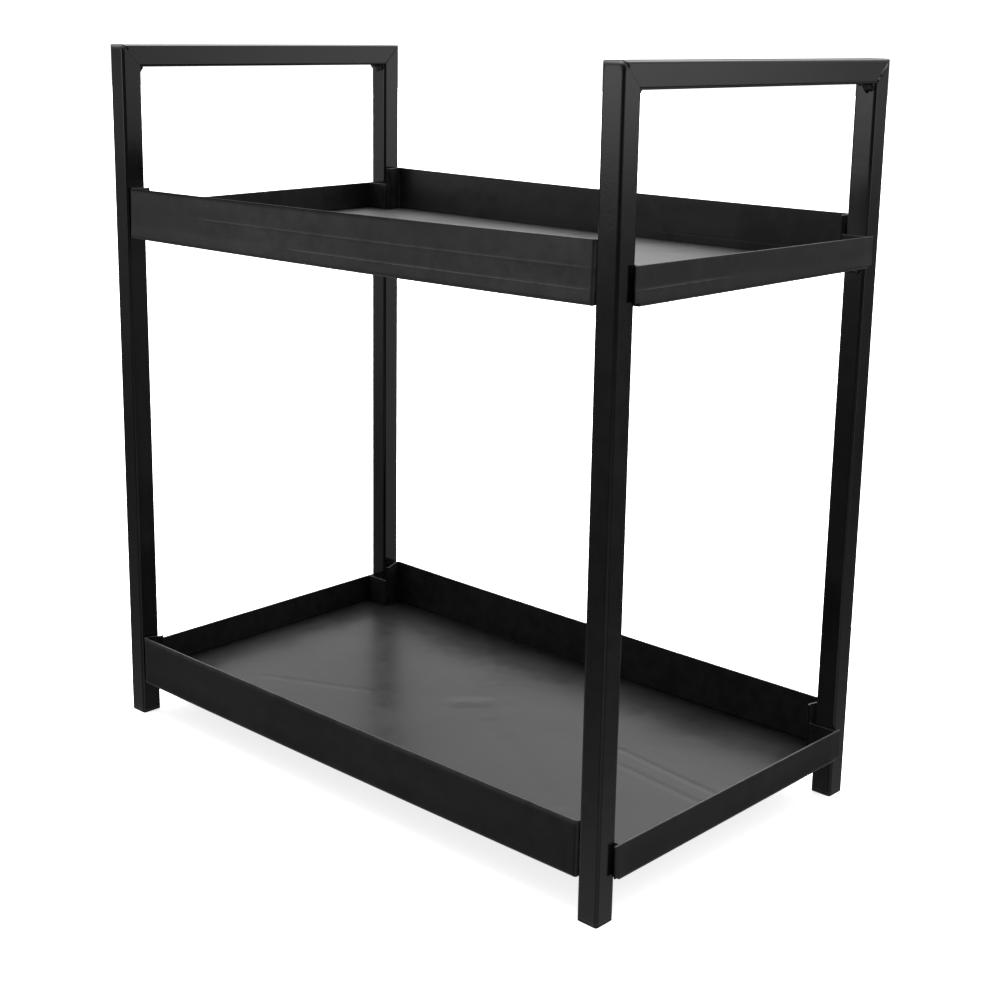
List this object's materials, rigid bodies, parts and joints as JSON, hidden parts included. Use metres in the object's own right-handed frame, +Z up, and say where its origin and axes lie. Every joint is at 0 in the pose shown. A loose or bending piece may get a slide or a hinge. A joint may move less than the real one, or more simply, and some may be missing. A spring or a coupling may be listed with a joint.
{
  "type": "two-tier organizer rack",
  "caption": "Free-standing two-tier organizer: two square-tube side frames carry two folded sheet-metal trays with raised rims.",
  "frame": {"origin": "on the floor, at the centre of the footprint", "axes": "+X along the long side to the right, -Y towards the front, +Z up"},
  "size_m": [0.397, 0.2236, 0.42],
  "materials": {
    "frame_coat": "satin black powder coat",
    "tray_coat": "satin black powder coat, slightly smoother than the frame",
    "foot_plastic": "matte black"
  },
  "bodies": {
    "root": {"leg_front_left": "frame_coat", "leg_front_right": "frame_coat", "leg_rear_left": "frame_coat", "leg_rear_right": "frame_coat", "top_bar_left": "frame_coat", "top_bar_right": "frame_coat", "corner_weld_front_left": "frame_coat", "corner_weld_front_right": "frame_coat", "corner_weld_rear_left": "frame_coat", "corner_weld_rear_right": "frame_coat", "foot_front_left": "foot_plastic", "foot_front_right": "foot_plastic", "foot_rear_left": "foot_plastic", "foot_rear_right": "foot_plastic", "lower_tray": "tray_coat", "upper_tray": "tray_coat", "lower_tray_weld_front_left": "frame_coat", "lower_tray_weld_front_right": "frame_coat", "lower_tray_weld_rear_left": "frame_coat", "lower_tray_weld_rear_right": "frame_coat", "upper_tray_weld_front_left": "frame_coat", "upper_tray_weld_front_right": "frame_coat", "upper_tray_weld_rear_left": "frame_coat", "upper_tray_weld_rear_right": "frame_coat"}
  },
  "joints": []
}
